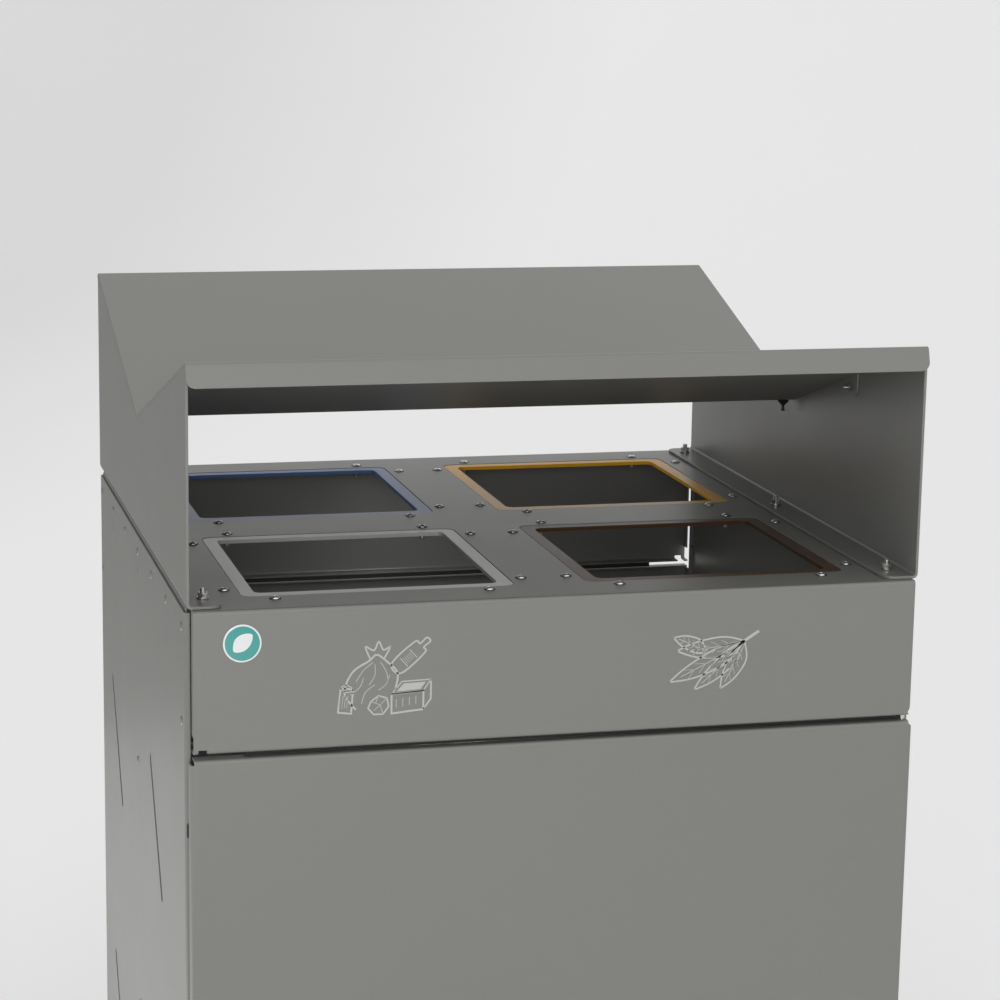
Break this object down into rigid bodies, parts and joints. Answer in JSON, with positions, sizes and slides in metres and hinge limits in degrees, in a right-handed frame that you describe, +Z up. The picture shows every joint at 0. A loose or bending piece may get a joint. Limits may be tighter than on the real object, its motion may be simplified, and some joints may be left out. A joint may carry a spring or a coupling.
{
  "type": "recycling bin station",
  "caption": "Square sheet-steel recycling station: throw-in openings with coloured frames in a deck under a butterfly canopy, hinged doors front and rear, liners with bail handles.",
  "frame": {"origin": "on the floor under the middle of the cabinet", "axes": "+Z up, -Y towards the front door, +X to the right seen from the front"},
  "size_m": [0.805, 0.8044, 1.2551],
  "materials": {
    "powder_coat": "satin grey powder coat with a fine metallic grain",
    "insert_front_left": "light grey powder coat",
    "insert_front_right": "brown powder coat",
    "insert_rear_left": "blue powder coat",
    "insert_rear_right": "yellow powder coat",
    "galvanised": "galvanised sheet with spangle",
    "zinc": "zinc plated",
    "bright_steel": "stainless",
    "black_rubber": "matt",
    "foot_rubber": "matt moulded foot"
  },
  "bodies": {
    "cabinet": {"deck_cover": "powder_coat", "floor_pan": "powder_coat", "side_panel_left": "powder_coat", "side_panel_right": "powder_coat", "partition": "powder_coat", "side_screw_left_front": "bright_steel", "side_screw_left_middle": "bright_steel", "side_screw_left_rear": "bright_steel", "side_screw_right_front": "bright_steel", "side_screw_right_middle": "bright_steel", "side_screw_right_rear": "bright_steel", "liner_guide_front": "zinc", "liner_guide_rear": "zinc", "insert_frame_front_left": "insert_front_left", "liner_front_left": "galvanised", "levelling_foot_front_left": "foot_rubber", "insert_frame_front_right": "insert_front_right", "liner_front_right": "galvanised", "levelling_foot_front_right": "foot_rubber", "insert_frame_rear_left": "insert_rear_left", "liner_rear_left": "galvanised", "levelling_foot_rear_left": "foot_rubber", "insert_frame_rear_right": "insert_rear_right", "liner_rear_right": "galvanised", "levelling_foot_rear_right": "foot_rubber", "front_hinge_pin_top": "bright_steel", "front_hinge_pin_bottom": "bright_steel", "front_lock_keeper": "zinc", "front_door_buffer_top": "black_rubber", "front_door_buffer_bottom": "black_rubber", "rear_hinge_pin_top": "bright_steel", "rear_hinge_pin_bottom": "bright_steel", "rear_lock_keeper": "zinc", "rear_door_buffer_top": "black_rubber", "rear_door_buffer_bottom": "black_rubber", "canopy_plate_left": "powder_coat", "canopy_plate_right": "powder_coat", "canopy_roof": "powder_coat", "flange_bolt_left_front": "bright_steel", "flange_bolt_left_middle": "bright_steel", "flange_bolt_left_rear": "bright_steel", "roof_bolt_left_front": "bright_steel", "roof_bolt_left_rear": "bright_steel", "valley_rivet_left": "black_rubber", "flange_bolt_right_front": "bright_steel", "flange_bolt_right_middle": "bright_steel", "flange_bolt_right_rear": "bright_steel", "roof_bolt_right_front": "bright_steel", "roof_bolt_right_rear": "bright_steel", "valley_rivet_right": "black_rubber"},
    "handle_front_left": {"liner_handle_front_left": "bright_steel"},
    "handle_front_right": {"liner_handle_front_right": "bright_steel"},
    "handle_rear_left": {"liner_handle_rear_left": "bright_steel"},
    "handle_rear_right": {"liner_handle_rear_right": "bright_steel"},
    "front_door": {"front_door": "powder_coat", "front_lock_barrel": "bright_steel"},
    "front_lock_cam": {"front_lock_cam": "zinc"},
    "rear_door": {"rear_door": "powder_coat", "rear_lock_barrel": "bright_steel"},
    "rear_lock_cam": {"rear_lock_cam": "zinc"}
  },
  "joints": [
    {"name": "front_door_hinge", "type": "hinge", "parent": "cabinet", "child": "front_door", "pos_m": [0.389, -0.391, 0.45], "axis": [0, 0, 1], "range_deg": [0, 105]},
    {"name": "front_lock_turn", "type": "hinge", "parent": "front_door", "child": "front_lock_cam", "pos_m": [-0.36, -0.38, 0.47], "axis": [0, -1, 0], "range_deg": [0, 90]},
    {"name": "rear_door_hinge", "type": "hinge", "parent": "cabinet", "child": "rear_door", "pos_m": [-0.389, 0.391, 0.45], "axis": [0, 0, 1], "range_deg": [0, 105]},
    {"name": "rear_lock_turn", "type": "hinge", "parent": "rear_door", "child": "rear_lock_cam", "pos_m": [0.36, 0.38, 0.47], "axis": [0, 1, 0], "range_deg": [0, 90]},
    {"name": "handle_lift_front_left", "type": "hinge", "parent": "cabinet", "child": "handle_front_left", "pos_m": [-0.196, -0.191, 0.734], "axis": [-1, 0, 0], "range_deg": [0, 180]},
    {"name": "handle_lift_front_right", "type": "hinge", "parent": "cabinet", "child": "handle_front_right", "pos_m": [0.196, -0.191, 0.734], "axis": [-1, 0, 0], "range_deg": [0, 180]},
    {"name": "handle_lift_rear_left", "type": "hinge", "parent": "cabinet", "child": "handle_rear_left", "pos_m": [-0.196, 0.191, 0.734], "axis": [-1, 0, 0], "range_deg": [0, 180]},
    {"name": "handle_lift_rear_right", "type": "hinge", "parent": "cabinet", "child": "handle_rear_right", "pos_m": [0.196, 0.191, 0.734], "axis": [-1, 0, 0], "range_deg": [0, 180]}
  ]
}
